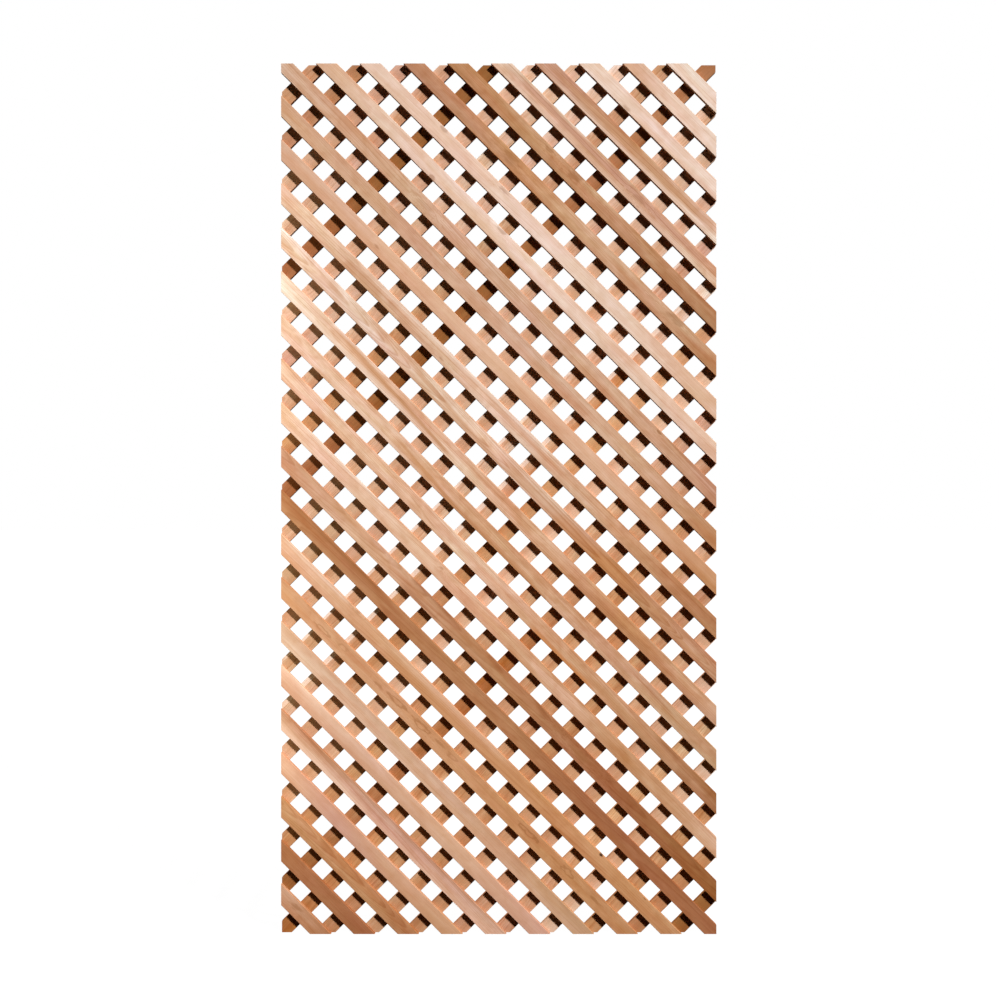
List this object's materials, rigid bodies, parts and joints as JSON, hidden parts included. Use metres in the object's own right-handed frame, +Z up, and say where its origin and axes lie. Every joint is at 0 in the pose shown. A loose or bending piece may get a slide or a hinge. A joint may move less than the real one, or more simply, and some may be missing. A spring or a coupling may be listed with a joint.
{
  "type": "lattice panel",
  "caption": "Rigid diagonal cedar lattice panel of crossed sawn laths, stapled at the crossings and trimmed flush, for fencing, screening and climbing plants.",
  "frame": {"origin": "middle of the panel's back face, on the middle rear lath", "axes": "+Z up the panel's long side, +X to the right seen from the front, the front faces -Y"},
  "size_m": [1.2192, 0.0193, 2.4384],
  "materials": {
    "front_laths": "western red cedar, smooth sawn, unfinished",
    "rear_laths": "western red cedar, smooth sawn, unfinished",
    "staples": "galvanised wire"
  },
  "bodies": {
    "root": {"front_lath_01": "front_laths", "front_lath_02": "front_laths", "front_lath_03": "front_laths", "front_lath_04": "front_laths", "front_lath_05": "front_laths", "front_lath_06": "front_laths", "front_lath_07": "front_laths", "front_lath_08": "front_laths", "front_lath_09": "front_laths", "front_lath_10": "front_laths", "front_lath_11": "front_laths", "front_lath_12": "front_laths", "front_lath_13": "front_laths", "front_lath_14": "front_laths", "front_lath_15": "front_laths", "front_lath_16": "front_laths", "front_lath_17": "front_laths", "front_lath_18": "front_laths", "front_lath_19": "front_laths", "front_lath_20": "front_laths", "front_lath_21": "front_laths", "front_lath_22": "front_laths", "front_lath_23": "front_laths", "front_lath_24": "front_laths", "front_lath_25": "front_laths", "front_lath_26": "front_laths", "front_lath_27": "front_laths", "front_lath_28": "front_laths", "front_lath_29": "front_laths", "rear_lath_01": "rear_laths", "rear_lath_02": "rear_laths", "rear_lath_03": "rear_laths", "rear_lath_04": "rear_laths", "rear_lath_05": "rear_laths", "rear_lath_06": "rear_laths", "rear_lath_07": "rear_laths", "rear_lath_08": "rear_laths", "rear_lath_09": "rear_laths", "rear_lath_10": "rear_laths", "rear_lath_11": "rear_laths", "rear_lath_12": "rear_laths", "rear_lath_13": "rear_laths", "rear_lath_14": "rear_laths", "rear_lath_15": "rear_laths", "rear_lath_16": "rear_laths", "rear_lath_17": "rear_laths", "rear_lath_18": "rear_laths", "rear_lath_19": "rear_laths", "rear_lath_20": "rear_laths", "rear_lath_21": "rear_laths", "rear_lath_22": "rear_laths", "rear_lath_23": "rear_laths", "rear_lath_24": "rear_laths", "rear_lath_25": "rear_laths", "rear_lath_26": "rear_laths", "rear_lath_27": "rear_laths", "rear_lath_28": "rear_laths", "rear_lath_29": "rear_laths"}
  },
  "joints": []
}
